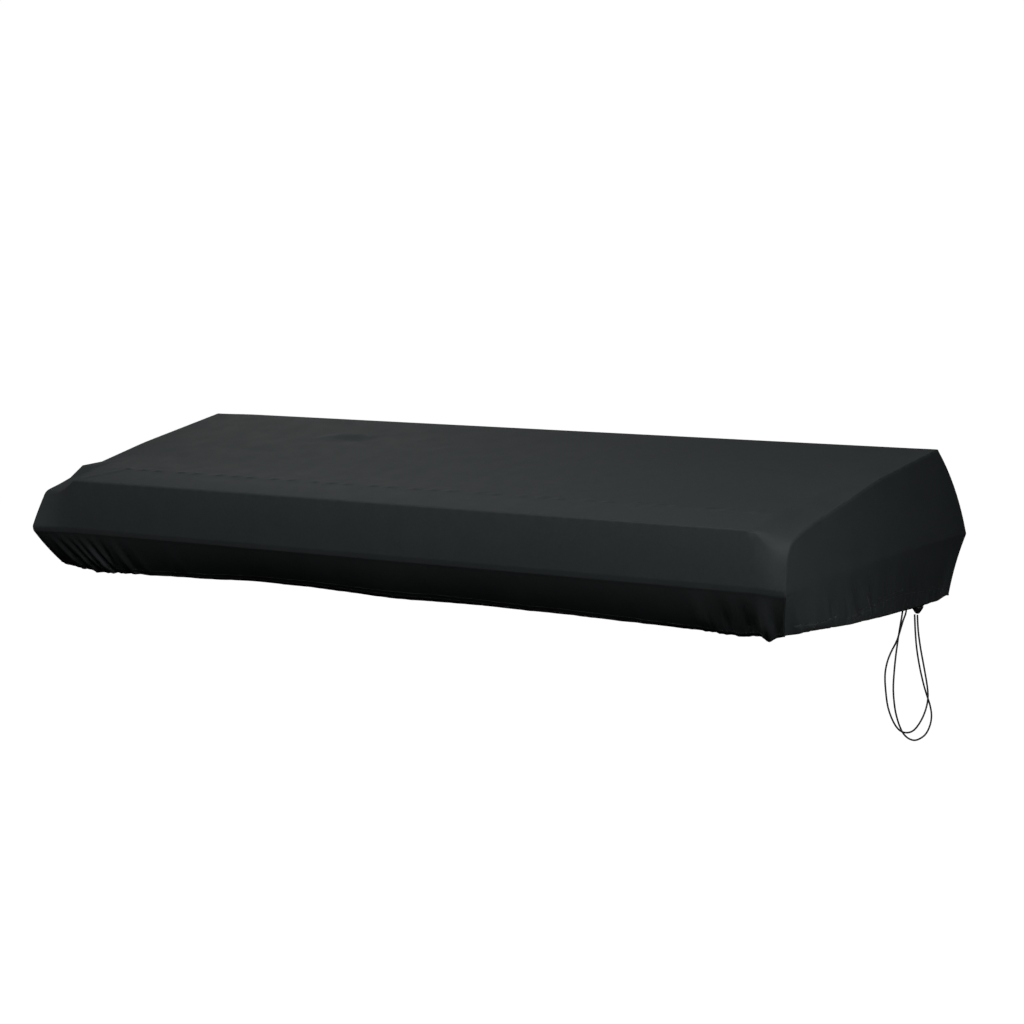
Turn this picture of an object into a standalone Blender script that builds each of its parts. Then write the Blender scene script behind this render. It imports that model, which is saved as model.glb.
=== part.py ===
"""A fitted dust cover of black stretch cloth, in the shape it takes when it is pulled on.

One long main panel is the top, the front and the back. A D-shaped panel is sewn in at each
end. A channel hem runs round the bottom of all three, drawn in under the lower edge by a thin
cord, whose two loops hang from the hem under the right end, at a cord lock.

X runs along the cover to the right, Y from the front to the back, and Z up. The origin is the
underside of the top, in the middle of the cover. Lengths in the tables are in millimetres.
"""

from collections import namedtuple
from math import exp

import bmesh
import bpy
from mathutils import Vector

MM = 0.001

# Driving dimensions
LENGTH = 1188.0
HALF = LENGTH / 2
CLOTH = 1.5
HEM_THICKNESS = 3.0
SEAM_GAP = 0.6
LEFT_SHOULDER = 78.0
RIGHT_SHOULDER = 44.0
CREASE_HASTE = {"left": 2.4, "right": 1.0}
RADIUS_HASTE = 2.0
END_COLUMN = 11.0
CORD_DIAMETER = 2.2

# The cross-section, corner by corner, from the front hem over the top to the back hem. Each
# corner has its place in the middle of the cover and in the seam at either end, where it also
# stands in from the full length. It is rounded by an arc, with "arc" points between its ends.
# Towards the next corner the cloth bows out by "bow", with "steps" points on the way. The
# crease and the back edge have as many points below them, since an end panel spans the two.
Place = namedtuple("Place", "y z radius")
Seam = namedtuple("Seam", "inset y z radius")
Corner = namedtuple("Corner", "name middle left right arc bow steps")
SECTION = (
    Corner("front hem", Place(-170, -160, 0), Seam(20, -170, -156, 0), Seam(20, -170, -161, 0), 0, 1.5, 3),
    Corner("lower edge", Place(-202, -111, 3), Seam(0, -204, -113, 5), Seam(0, -202, -113, 4), 1, 0.8, 2),
    Corner("crease", Place(-202, -41, 3), Seam(1, -200, -71, 34), Seam(1, -202, -56, 33), 3, 0.5, 1),
    Corner("ridge", Place(-152, -27, 10), Seam(5, -157, -52, 9), Seam(3, -146, -38, 20), 1, 0.0, 0),
    Corner("step foot", Place(-124, -22, 0), Seam(6, -139, -45, 0), Seam(4, -120, -31, 0), 0, 0.0, 0),
    Corner("step top", Place(-110, -19, 0), Seam(6, -116, -30, 0), Seam(4, -105, -27, 0), 0, 0.0, 0),
    Corner("step back", Place(-75, -13, 0), Seam(6, -80, -27, 0), Seam(4, -71, -18, 0), 0, 0.0, 1),
    Corner("top break", Place(3, 1.5, 0), Seam(6, 1, -5.5, 0), Seam(6, 6, 3, 0), 0, -1.0, 2),
    Corner("back edge", Place(149, 29.5, 4), Seam(10, 149, 28.5, 4), Seam(9, 149, 29.5, 3), 3, 7.0, 2),
    Corner("widest", Place(206, -75, 8), Seam(3, 206, -76, 8), Seam(3, 209, -75.5, 5), 1, -4.0, 3),
    Corner("back hem", Place(178, -155, 0), Seam(12, 180, -152, 0), Seam(10, 181, -151, 0), 0, 0.0, 0),
)

LOWER_EDGE = 1
CREASE = 2
BACK_EDGE = 8

# How high the hem hangs at each place along the front and the back.
Drop = namedtuple("Drop", "x z")
FRONT_HEM = (
    Drop(-574, -156.5), Drop(-561, -159.5), Drop(-523, -163), Drop(-501, -165.5), Drop(-426, -163),
    Drop(-317, -160.5), Drop(-212, -157), Drop(-144, -157.5), Drop(20, -161), Drop(144, -159.5),
    Drop(264, -160), Drop(378, -161.5), Drop(461, -162.5), Drop(515, -165.5), Drop(540, -163.5),
    Drop(555, -167), Drop(565, -162.5), Drop(574, -161),
)
BACK_HEM = (
    Drop(-582, -152), Drop(-470, -157), Drop(-250, -153), Drop(-40, -156), Drop(190, -153.5),
    Drop(430, -157), Drop(584, -148),
)

# The hem of an end panel, from the front corner (share 0) to the back corner (share 1).
EndHem = namedtuple("EndHem", "share inset z")
LEFT_HEM = (
    EndHem(0, 20, -156), EndHem(0.3, 22, -160), EndHem(0.7, 18, -158), EndHem(1, 12, -152),
)
RIGHT_HEM = (
    EndHem(0, 20, -161), EndHem(0.06, 9, -158.5), EndHem(0.14, 4, -158), EndHem(0.3, 5, -158),
    EndHem(0.5, 11, -158.5), EndHem(0.8, 17, -157.5), EndHem(0.93, 14, -153.5), EndHem(1, 10, -148),
)
HEM_SETTLES = 1 / 20

# The main folds of the band that turns under. "At" is where a fold starts on the lower edge,
# "slant" how far it has moved along when it reaches the hem, and a trough has a height below 0.
Fold = namedtuple("Fold", "at slant width height")
FRONT_FOLDS = (
    Fold(-572, 34, 6.5, 2.5), Fold(-556, 34, 5.5, -2.0), Fold(-543, 33, 6.5, 3.5),
    Fold(-528, 32, 5.5, -2.5), Fold(-514, 30, 7.0, 3.5), Fold(-497, 28, 6.0, -2.0),
    Fold(-480, 26, 7.0, 2.5), Fold(-430, 24, 8.0, 1.2), Fold(-352, 20, 9.0, 1.0),
    Fold(470, 6, 9.0, 2.0), Fold(505, 4, 8.0, -2.0), Fold(532, 2, 8.0, -3.0),
    Fold(563, -8, 7.5, 4.5),
)
BACK_FOLDS = (
    Fold(-560, 14, 8.0, 2.5), Fold(-528, 16, 8.0, -2.0), Fold(-498, 16, 9.0, 2.0),
    Fold(536, -14, 8.0, 2.0), Fold(563, -12, 8.0, -2.0),
)
LEFT_FOLDS = (
    Fold(-168, 6, 8.0, -2.0), Fold(-130, 4, 8.0, -2.5), Fold(-70, 2, 10.0, -2.0),
    Fold(40, -2, 10.0, -2.0), Fold(110, -4, 9.0, -2.5),
)
RIGHT_FOLDS = (
    Fold(-103, 16, 7.0, -2.0), Fold(-70, 20, 10.0, 1.0), Fold(-54, 32, 8.0, -3.0),
    Fold(-34, 28, 7.0, 1.5), Fold(-16, 24, 6.0, -2.2), Fold(24, 12, 7.0, -0.8),
    Fold(62, 8, 8.0, -1.0), Fold(92, 4, 8.0, -0.8),
)
FOLD_ONSET = 1.3
FOLD_FREE = 1 / 8

# Where the main panel has its rows of points: closer together where the folds are.
Span = namedtuple("Span", "start end pitch")
SPANS = (Span(-594, -440, 8.1), Span(-440, 460, 45.0), Span(460, 594, 7.5))

# The cord lock hangs just inside the right end's hem. Its outline runs from the top down.
Turn = namedtuple("Turn", "radius z")
LOCK_CENTRE = Vector((566, 137.4, -159))
LOCK_OUTLINE = (
    Turn(0, 8.5), Turn(4, 8.5), Turn(6.4, 6.8), Turn(7.4, 3), Turn(7.4, -2.5), Turn(6.4, -6),
    Turn(4.2, -8), Turn(0, -8.5),
)
LOCK_SIDES = 16

# The routes of the two loops, from inside the channel hem down and back up to the cord lock.
OUTER_ROUTE = (
    (569, 106, -149), (569, 105, -162), (569, 98, -172), (569, 85, -193), (569, 71, -206),
    (569, 62, -218), (569, 58, -232), (569, 60, -250), (569, 66, -271), (569, 79, -290),
    (569, 94, -302), (569, 111, -307), (569, 128, -306), (569, 144, -297), (569, 155, -285),
    (569, 160, -272), (569, 158, -257), (569, 150, -234), (568.4, 142, -210), (567.9, 136.5, -188),
    (567.6, 134.5, -168.3),
)
INNER_ROUTE = (
    (563, 108, -149), (563, 107, -163), (563, 101, -182), (563, 96, -200), (563, 92, -217),
    (563, 89, -236), (563, 88, -254), (563, 92, -275), (563, 99, -291), (563, 108, -304),
    (563, 117, -312), (563, 129, -318), (563, 142, -321), (563, 156, -320), (563, 168, -316),
    (563, 177, -307), (563, 180, -296), (563, 176, -283), (563, 168, -270), (563, 160, -256),
    (563, 150, -234), (563, 142, -210), (563, 138, -188), (563, 136, -168.3),
)
ROUTE_STEPS = 3

# Finishes
BLACK_CLOTH = (0.022, 0.026, 0.027)
GREY_CORD = (0.03, 0.035, 0.033)
BLACK_PLASTIC = (0.012, 0.013, 0.014)


def smooth(t):
    """0 below 0 and 1 above 1, with a soft S between them."""
    t = min(max(t, 0.0), 1.0)
    return t * t * (3 - 2 * t)


def table_at(rows, place):
    """The columns after the first of a table, eased from row to row, at a place in the first."""
    for before, after in zip(rows, rows[1:]):
        if place <= after[0]:
            break
    share = smooth((place - before[0]) / (after[0] - before[0]))
    return [a + (b - a) * share for a, b in zip(before[1:], after[1:])]


def fold_at(folds, place, fall):
    """How far the folds push the cloth out at a place, where fall runs from 0 to 1 at the hem."""
    pushed = sum(f.height * exp(-(((place - f.at - f.slant * fall) / f.width) ** 2)) for f in folds)
    return pushed * smooth(fall * FOLD_ONSET)


def corners_at(x):
    """The corners of the section at x along the cover, as points and radii."""
    end = "left" if x < 0 else "right"
    shoulder = LEFT_SHOULDER if x < 0 else RIGHT_SHOULDER
    nearness = (abs(x) - HALF + shoulder) / shoulder
    points = []
    radii = []
    for corner in SECTION:
        middle = corner.middle
        seam = getattr(corner, end)
        share = smooth(nearness * (CREASE_HASTE[end] if corner.name == "crease" else 1))
        y = middle.y + (seam.y - middle.y) * share
        z = middle.z + (seam.z - middle.z) * share
        points.append(Vector((x * (1 - seam.inset / HALF), y, z)))
        radii.append(middle.radius + (seam.radius - middle.radius) * smooth(nearness * RADIUS_HASTE))
    points[0].z = table_at(FRONT_HEM, points[0].x)[0]
    points[-1].z = table_at(BACK_HEM, points[-1].x)[0]
    return points, radii


def outward(start, end):
    """The outward direction of the section between two of its points."""
    along = end - start
    return Vector((0, -along.z, along.y)).normalized()


def section_at(x):
    """The section's points at x, and which of them is the middle of each corner."""
    corners, radii = corners_at(x)
    points = [corners[0]]
    middles = [0]
    for i in range(1, len(SECTION)):
        stretch = SECTION[i - 1]
        arc = SECTION[i].arc
        corner = corners[i]
        back = (corners[i - 1] - corner).normalized() * radii[i]
        start = points[-1]
        end = corner + back
        out = outward(start, end)
        for step in range(1, stretch.steps + 1):
            share = step / (stretch.steps + 1)
            points.append(start.lerp(end, share) + out * stretch.bow * 4 * share * (1 - share))
        points.append(end)
        middles.append(len(points) - 1 + (arc + 1) // 2)
        if arc:
            ahead = (corners[i + 1] - corner).normalized() * radii[i]
            for step in range(1, arc + 2):
                share = step / (arc + 1)
                points.append(corner + back * (1 - share) ** 2 + ahead * share ** 2)
    fold_band(points[middles[1]::-1], FRONT_FOLDS)
    fold_band(points[middles[-2]:], BACK_FOLDS)
    return points, middles


def fold_band(points, folds):
    """Pushes the points of a band that turns under, from its edge to its hem, by its folds."""
    first = points[0].copy()
    out = outward(first, points[-1])
    if out.z > 0:
        out = -out
    length = (points[-1] - first).length
    for point in points:
        fall = (point - first).length / length
        point += out * fold_at(folds, point.x, fall)


def loft(name, rows, hem_columns, flip, material):
    """A sheet of cloth through rows of points, with its thickness inside and a thicker hem."""
    mesh = bpy.data.meshes.new(name)
    bm = bmesh.new()
    grid = [[bm.verts.new(point * MM) for point in row] for row in rows]
    for this_row, next_row in zip(grid, grid[1:]):
        for j in range(len(this_row) - 1):
            face = [this_row[j], next_row[j], next_row[j + 1], this_row[j + 1]]
            bm.faces.new(reversed(face) if flip else face)
    bm.verts.index_update()
    hem = [row[j].index for row in grid for j in hem_columns]
    bm.to_mesh(mesh)
    bm.free()
    mesh.shade_smooth()
    mesh.materials.append(material)
    cloth = bpy.data.objects.new(name, mesh)
    cloth.vertex_groups.new(name="hem").add(hem, 1.0, "REPLACE")
    solidify = cloth.modifiers.new("thickness", "SOLIDIFY")
    solidify.thickness = HEM_THICKNESS * MM
    solidify.offset = -1
    solidify.vertex_group = "hem"
    solidify.thickness_vertex_group = CLOTH / HEM_THICKNESS
    return cloth


def main_panel(material):
    """The top, front and back in one piece."""
    stations = [SPANS[0].start]
    for span in SPANS:
        count = round((span.end - span.start) / span.pitch)
        stations += [span.start + (span.end - span.start) * (i + 1) / count for i in range(count)]
    rows = [section_at(x)[0] for x in stations]
    last = len(rows[0]) - 1
    return loft("main_panel", rows, (0, 1, last - 1, last), False, material)


def seam_line(side):
    """The end section, moved inside the main panel's cloth: the edge of an end panel."""
    section, middles = section_at(side * HALF)
    last = len(section) - 1
    edge = []
    for i, point in enumerate(section):
        in_hem = min(i, last - i) < 3
        inside = outward(section[max(i - 1, 0)], section[min(i + 1, last)])
        depth = (HEM_THICKNESS if in_hem else CLOTH) + SEAM_GAP
        edge.append(point - inside * depth - Vector((side * SEAM_GAP, 0, 0)))
    return edge, middles


def refine(points, pitch):
    """The points, with more between them wherever they are further apart than the pitch."""
    finer = [points[0]]
    for start, end in zip(points, points[1:]):
        count = max(1, round(abs(end.y - start.y) / pitch))
        finer += [start.lerp(end, (i + 1) / count) for i in range(count)]
    return finer


def hem_hang(hem_rows, share, side, straight):
    """How far an end panel's hem hangs away from a place on the straight line of its corners."""
    inset, height = table_at(hem_rows, share)
    hung = Vector((side * (HALF - SEAM_GAP - inset), straight.y, height))
    return (hung - straight) * smooth(min(share, 1 - share) / HEM_SETTLES)


def end_panel(name, side, hem_rows, folds, material):
    """An end piece: a grid across from the front seam to the back one, up to the top's seam."""
    seam, middles = seam_line(side)
    crease = middles[CREASE]
    front = seam[crease::-1]
    back = seam[middles[BACK_EDGE]:]
    top = refine(seam[crease:middles[BACK_EDGE] + 1], END_COLUMN)
    edge = crease - middles[LOWER_EDGE]
    rows = []
    for across in top:
        share = (across.y - top[0].y) / (top[-1].y - top[0].y)
        hang = hem_hang(hem_rows, share, side, front[-1].lerp(back[-1], share))
        bend = across - top[0].lerp(top[-1], share)
        free = smooth(min(share, 1 - share) / FOLD_FREE)
        row = []
        for j in range(crease + 1):
            fall = max(j - edge, 0) / (crease - edge)
            point = front[j].lerp(back[j], share) + bend * (1 - j / crease) + hang * fall
            point.x += side * free * fold_at(folds, point.y, fall)
            row.append(point)
        rows.append(row)
    return loft(name, rows, (crease - 1, crease), side > 0, material)


def smooth_line(route):
    """A curve through a route's points, with a few points of its own between each two."""
    line = [route[0]]
    for i in range(len(route) - 1):
        p0 = route[max(i - 1, 0)]
        p1 = route[i]
        p2 = route[i + 1]
        p3 = route[min(i + 2, len(route) - 1)]
        for step in range(1, ROUTE_STEPS + 1):
            t = step / ROUTE_STEPS
            bend = (2 * p0 - 5 * p1 + 4 * p2 - p3) * t ** 2 + (p3 - p0 + 3 * (p1 - p2)) * t ** 3
            line.append(p1 + ((p2 - p0) * t + bend) / 2)
    return line


def cord_loop(name, route, material):
    """A loop of drawcord: a round tube along its route."""
    line = smooth_line([Vector(point) * MM for point in route])
    curve = bpy.data.curves.new(name, "CURVE")
    curve.dimensions = "3D"
    curve.bevel_depth = CORD_DIAMETER / 2 * MM
    curve.bevel_resolution = 2
    curve.use_fill_caps = True
    spline = curve.splines.new("POLY")
    spline.points.add(len(line) - 1)
    for place, point in zip(spline.points, line):
        place.co = (*point, 1)
    spline.use_smooth = True
    curve.materials.append(material)
    return bpy.data.objects.new(name, curve)


def cord_lock(material):
    """The cord lock: a small turned barrel with rounded ends."""
    mesh = bpy.data.meshes.new("cord_lock")
    outline = [Vector((turn.radius, 0, turn.z)) * MM for turn in LOCK_OUTLINE]
    mesh.from_pydata(outline, [(i, i + 1) for i in range(len(outline) - 1)], [])
    mesh.materials.append(material)
    lock = bpy.data.objects.new("cord_lock", mesh)
    lock.location = LOCK_CENTRE * MM
    screw = lock.modifiers.new("turn", "SCREW")
    screw.steps = LOCK_SIDES
    screw.render_steps = LOCK_SIDES
    screw.use_merge_vertices = True
    screw.merge_threshold = 0.0001
    screw.use_smooth_shade = True
    return lock


def finish(name, colour, roughness):
    """A plain finish."""
    material = bpy.data.materials.new(name)
    material.use_nodes = True
    shader = material.node_tree.nodes["Principled BSDF"]
    shader.inputs["Base Color"].default_value = (*colour, 1)
    shader.inputs["Roughness"].default_value = roughness
    shader.inputs["Metallic"].default_value = 0.0
    return material


def build():
    """The whole cover, in a collection of its own."""
    for obj in list(bpy.data.objects):
        bpy.data.objects.remove(obj)
    cover = bpy.data.collections.new("dust cover")
    bpy.context.scene.collection.children.link(cover)
    left_cloth = finish("left end cloth", BLACK_CLOTH, 0.75)
    right_cloth = finish("right end cloth", BLACK_CLOTH, 0.75)
    pieces = [
        main_panel(finish("main panel cloth", BLACK_CLOTH, 0.75)),
        end_panel("end_panel_left", -1, LEFT_HEM, LEFT_FOLDS, left_cloth),
        end_panel("end_panel_right", 1, RIGHT_HEM, RIGHT_FOLDS, right_cloth),
        cord_loop("drawcord_loop_outer", OUTER_ROUTE, finish("outer loop cord", GREY_CORD, 0.6)),
        cord_loop("drawcord_loop_inner", INNER_ROUTE, finish("inner loop cord", GREY_CORD, 0.6)),
        cord_lock(finish("lock plastic", BLACK_PLASTIC, 0.45)),
    ]
    for piece in pieces:
        cover.objects.link(piece)


build()
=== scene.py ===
# %% [markdown]
# # A fitted dust cover of black stretch cloth
#
# The real cover is one long knitted panel with a D-shaped panel sewn in at each end. A channel
# hem runs round the bottom, and a thin cord in it draws the cloth in under the lower edge. Here
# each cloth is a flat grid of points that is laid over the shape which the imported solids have,
# and then gets the small folds, marks, seams and stitches that solids of that kind leave out.
#
# The first cell loads those solids. They are the fixed frame that all else is fitted to.

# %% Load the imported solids
import random
from collections import namedtuple
from math import cos, exp, hypot, pi, radians, sin

import bmesh
import bpy
from mathutils import Matrix, Vector


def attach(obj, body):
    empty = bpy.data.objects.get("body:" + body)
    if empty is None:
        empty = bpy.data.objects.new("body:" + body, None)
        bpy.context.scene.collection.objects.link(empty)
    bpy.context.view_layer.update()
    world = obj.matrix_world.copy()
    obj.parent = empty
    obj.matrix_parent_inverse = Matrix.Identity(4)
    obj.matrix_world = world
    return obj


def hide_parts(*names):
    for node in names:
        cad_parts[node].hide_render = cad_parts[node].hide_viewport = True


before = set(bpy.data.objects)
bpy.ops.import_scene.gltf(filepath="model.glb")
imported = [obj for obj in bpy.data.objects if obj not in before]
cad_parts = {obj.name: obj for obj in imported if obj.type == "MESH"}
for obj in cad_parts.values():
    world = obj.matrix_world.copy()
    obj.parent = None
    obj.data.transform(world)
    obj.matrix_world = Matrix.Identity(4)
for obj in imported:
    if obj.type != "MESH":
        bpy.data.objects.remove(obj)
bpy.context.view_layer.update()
print("solids:", ", ".join(sorted(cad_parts)))

# %% [markdown]
# ## The camera
#
# The camera stands low, to the right of the front, far enough away for a long lens. Its place
# and angle are the photograph's, worked out from the even repeat of the marks in the top. It is
# made first, with the cords, because the loops of cord have to lie inside its view.

# %% The camera
MM = 0.001
CAMERA_PLACE = (2.2795, -2.8719, 0.2828)
CAMERA_TURN = 37.679
CAMERA_DIP = 5.471
CAMERA_LENS = 101.95

camera_data = bpy.data.cameras.new("camera")
camera_data.lens = CAMERA_LENS
camera_data.sensor_width = 36.0
camera = bpy.data.objects.new("camera", camera_data)
camera.location = CAMERA_PLACE
camera.rotation_euler = (radians(90 - CAMERA_DIP), 0, radians(CAMERA_TURN))
bpy.context.scene.collection.objects.link(camera)
bpy.context.scene.camera = camera
print("camera:", CAMERA_LENS, "mm lens, turned", CAMERA_TURN, "degrees")

# %% [markdown]
# ## Small helpers
#
# The cover's sizes are in millimetres, as a maker would note them, and are turned into metres
# when a point is placed. A soft S-curve and a table that eases from row to row do most of the
# shaping: every fold, hem and corner below is a short table that one of them reads.

# %% Helpers for shapes
def smooth(t):
    """0 below 0 and 1 above 1, with a soft S between them."""
    t = min(max(t, 0.0), 1.0)
    return t * t * (3 - 2 * t)


def bell(distance, width):
    """1 at the middle, falling off softly to both sides."""
    return exp(-((distance / width) ** 2))


def table_at(rows, place):
    """The columns after the first of a table, eased from row to row, at a place in the first."""
    for before, after in zip(rows, rows[1:]):
        if place <= after[0]:
            break
    share = smooth((place - before[0]) / (after[0] - before[0]))
    return [a + (b - a) * share for a, b in zip(before[1:], after[1:])]


def outward(start, end):
    """The outward direction of the cross-section between two of its points."""
    along = end - start
    return Vector((0, -along.z, along.y)).normalized()


def new_piece(name, bm):
    """An object at the origin from a finished bmesh, with smooth shading."""
    mesh = bpy.data.meshes.new(name)
    bm.to_mesh(mesh)
    bm.free()
    mesh.shade_smooth()
    piece = bpy.data.objects.new(name, mesh)
    bpy.context.scene.collection.objects.link(piece)
    return piece


def triangles(piece):
    """How many triangles a piece has once its modifiers are evaluated."""
    evaluated = piece.evaluated_get(bpy.context.evaluated_depsgraph_get())
    mesh = evaluated.to_mesh()
    count = sum(len(polygon.vertices) - 2 for polygon in mesh.polygons)
    evaluated.to_mesh_clear()
    return count


# %% [markdown]
# ## Shader maths as Python
#
# A procedural finish is a sum of patterns. Wiring each plus and times by hand hides what the sum
# is, so a socket is wrapped in a small class whose operators add the Math nodes. Any other node
# comes from one method, which takes its settings and what its sockets hold.

# %% The material helpers
class Socket:
    """One output of a material's nodes. Arithmetic on it adds Math nodes."""

    def __init__(self, finish, output):
        self.finish = finish
        self.output = output

    def maths(self, operation, first, second=0.0):
        """The output of a new Math node."""
        return self.finish.node("ShaderNodeMath", {"operation": operation}, {0: first, 1: second})

    def __add__(self, other):
        return self.maths("ADD", self, other)

    def __radd__(self, other):
        return self.maths("ADD", other, self)

    def __sub__(self, other):
        return self.maths("SUBTRACT", self, other)

    def __rsub__(self, other):
        return self.maths("SUBTRACT", other, self)

    def __mul__(self, other):
        return self.maths("MULTIPLY", self, other)

    def __rmul__(self, other):
        return self.maths("MULTIPLY", other, self)

    def __abs__(self):
        return self.maths("ABSOLUTE", self)

    def fraction(self):
        return self.maths("FRACT", self)

    def cosine(self):
        return self.maths("COSINE", self)


class Finish:
    """A material and the Principled shader that its nodes feed."""

    def __init__(self, name, colour, roughness, sheen=0.0, sheen_roughness=0.5):
        self.material = bpy.data.materials.new(name)
        self.material.use_nodes = True
        self.tree = self.material.node_tree
        self.shader = self.tree.nodes["Principled BSDF"]
        self.set("Base Color", (*colour, 1))
        self.set("Roughness", roughness)
        self.set("Sheen Weight", sheen)
        self.set("Sheen Roughness", sheen_roughness)

    def node(self, kind, settings=None, inputs=None, output=0):
        """One output of a new node, after its settings and inputs are made."""
        node = self.tree.nodes.new(kind)
        for name, value in (settings or {}).items():
            setattr(node, name, value)
        for name, value in (inputs or {}).items():
            self.feed(node.inputs[name], value)
        return Socket(self, node.outputs[output])

    def feed(self, place, value):
        """Gives an input a value, or links another output to it."""
        if isinstance(value, Socket):
            self.tree.links.new(value.output, place)
        else:
            place.default_value = value

    def set(self, name, value):
        """Feeds one of the shader's own inputs."""
        self.feed(self.shader.inputs[name], value)

    def coordinates(self, kind):
        return self.node("ShaderNodeTexCoord", output=kind)

    def noise(self, size, detail=2.0):
        """Soft noise whose patches are about size metres across."""
        return self.node(
            "ShaderNodeTexNoise",
            inputs={"Vector": self.coordinates("Object"), "Scale": 1 / size, "Detail": detail},
        )

    def bump(self, height, depth):
        """A normal that stands up by depth metres where the height is 1."""
        return self.node("ShaderNodeBump", inputs={"Height": height, "Distance": depth, "Strength": 1.0})

    def between(self, factor, dark, light):
        """A colour from dark to light by a factor."""
        return self.node(
            "ShaderNodeMix",
            {"data_type": "RGBA"},
            {"Factor": factor, 6: (*dark, 1), 7: (*light, 1)},
            output=2,
        )


# %% [markdown]
# ## The loops of drawcord
#
# The drawcord leaves the channel hem under the right end, hangs in two loops and comes back to
# the cord lock. Each loop follows one smooth curve through a few points. The cord is a round
# braid 2.2 mm thick, so its tube is a grid wrapped round that curve, with the strands of the
# braid as ridges that cross each other. A plain bevelled curve would look like wire.

# %% The routes of the loops
CORD_DIAMETER = 2.2
ROUTE_STEPS = 3
OUTER_ROUTE = (
    (569, 106, -149), (569, 105, -162), (569, 98, -172), (569, 85, -193), (569, 71, -206),
    (569, 62, -218), (569, 58, -232), (569, 60, -250), (569, 66, -271), (569, 79, -290),
    (569, 94, -302), (569, 111, -307), (569, 128, -306), (569, 144, -297), (569, 155, -285),
    (569, 160, -272), (569, 158, -257), (569, 150, -234), (568.4, 142, -210), (567.9, 136.5, -188),
    (567.6, 134.5, -168.3),
)
INNER_ROUTE = (
    (563, 108, -149), (563, 107, -163), (563, 101, -182), (563, 96, -200), (563, 92, -217),
    (563, 89, -236), (563, 88, -254), (563, 92, -275), (563, 99, -291), (563, 108, -304),
    (563, 117, -312), (563, 129, -318), (563, 142, -321), (563, 156, -320), (563, 168, -316),
    (563, 177, -307), (563, 180, -296), (563, 176, -283), (563, 168, -270), (563, 160, -256),
    (563, 150, -234), (563, 142, -210), (563, 138, -188), (563, 136, -168.3),
)


def smooth_line(route, steps):
    """A curve through a route's points, with a few points of its own between each two."""
    line = [route[0]]
    for i in range(len(route) - 1):
        p0 = route[max(i - 1, 0)]
        p1 = route[i]
        p2 = route[i + 1]
        p3 = route[min(i + 2, len(route) - 1)]
        for step in range(1, steps + 1):
            t = step / steps
            bend = (2 * p0 - 5 * p1 + 4 * p2 - p3) * t ** 2 + (p3 - p0 + 3 * (p1 - p2)) * t ** 3
            line.append(p1 + ((p2 - p0) * t + bend) / 2)
    return line


def line_length(line):
    """The length of a line of points."""
    return sum((end - start).length for start, end in zip(line, line[1:]))


outer_line = smooth_line([Vector(point) * MM for point in OUTER_ROUTE], ROUTE_STEPS)
inner_line = smooth_line([Vector(point) * MM for point in INNER_ROUTE], ROUTE_STEPS)
print("outer loop", round(line_length(outer_line), 4), "m")
print("inner loop", round(line_length(inner_line), 4), "m")

# %% The braided cord
BRAID_STRANDS = 6
BRAID_LAY = 5.5
BRAID_RELIEF = 0.14
CORD_SIDES = 24
CORD_STEP = 0.55
WELD = 0.00001


def even_points(line, count):
    """Points at even distances along a line."""
    total = line_length(line)
    points = []
    walked = 0.0
    i = 0
    for step in range(count + 1):
        wanted = total * step / count
        while i < len(line) - 2 and walked + (line[i + 1] - line[i]).length < wanted:
            walked += (line[i + 1] - line[i]).length
            i += 1
        share = (wanted - walked) / (line[i + 1] - line[i]).length
        points.append(line[i].lerp(line[i + 1], min(share, 1.0)))
    return points


def braid(turn, along):
    """How far a strand stands out, from 0 to 1, at a turn round the cord and a way along it."""
    lay = 2 * pi * along / BRAID_LAY
    over = cos(BRAID_STRANDS * turn / 2 + lay) ** 2
    under = cos(BRAID_STRANDS * turn / 2 - lay) ** 2
    return max(over, under)


def cord_tube(name, line):
    """A tube round a line, with the crossing ridges of a braid and closed ends."""
    steps = round(line_length(line) / (CORD_STEP * MM))
    points = even_points(line, steps)
    bm = bmesh.new()
    bmesh.ops.create_grid(bm, x_segments=steps, y_segments=CORD_SIDES, size=0.5)
    uv = bm.loops.layers.uv.new("cloth")
    for face in bm.faces:
        for loop in face.loops:
            share = loop.vert.co
            along = (share.x + 0.5) * steps * CORD_STEP
            round_it = (share.y + 0.5) * CORD_DIAMETER * pi
            loop[uv].uv = (along * MM, round_it * MM)
    for vert in bm.verts:
        i = round((vert.co.x + 0.5) * steps)
        turn = (vert.co.y + 0.5) * 2 * pi
        ahead = (points[min(i + 1, steps)] - points[max(i - 1, 0)]).normalized()
        side = (Vector((1, 0, 0)) - ahead * ahead.x).normalized()
        up = ahead.cross(side)
        radius = CORD_DIAMETER / 2 * (1 - BRAID_RELIEF * (1 - braid(turn, i * CORD_STEP)))
        vert.co = points[i] + (side * cos(turn) + up * sin(turn)) * radius * MM
    bmesh.ops.remove_doubles(bm, verts=bm.verts, dist=WELD)
    bmesh.ops.holes_fill(bm, edges=bm.edges, sides=0)
    bmesh.ops.recalc_face_normals(bm, faces=bm.faces)
    return new_piece(name, bm)


outer_loop = cord_tube("outer_loop", outer_line)
inner_loop = cord_tube("inner_loop", inner_line)
print("cord triangles:", triangles(outer_loop), triangles(inner_loop))

# %% [markdown]
# The cord is polyester, a dull grey-green next to the black cloth. Its colour is a little uneven
# and its fibres roughen it. The hollows between its strands are darker by themselves, because
# little light reaches them.

# %% The cord's finish
def cord_finish():
    """A dull grey-green braid with a faint sheen."""
    finish = Finish("drawcord", (0.03, 0.035, 0.033), 0.62, sheen=0.25, sheen_roughness=0.4)
    patches = finish.noise(0.004)
    fibres = finish.noise(0.0003, detail=3.0)
    finish.set("Base Color", finish.between(patches, (0.021, 0.026, 0.024), (0.042, 0.047, 0.044)))
    finish.set("Normal", finish.bump(fibres, 0.00006))
    return finish.material


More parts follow.
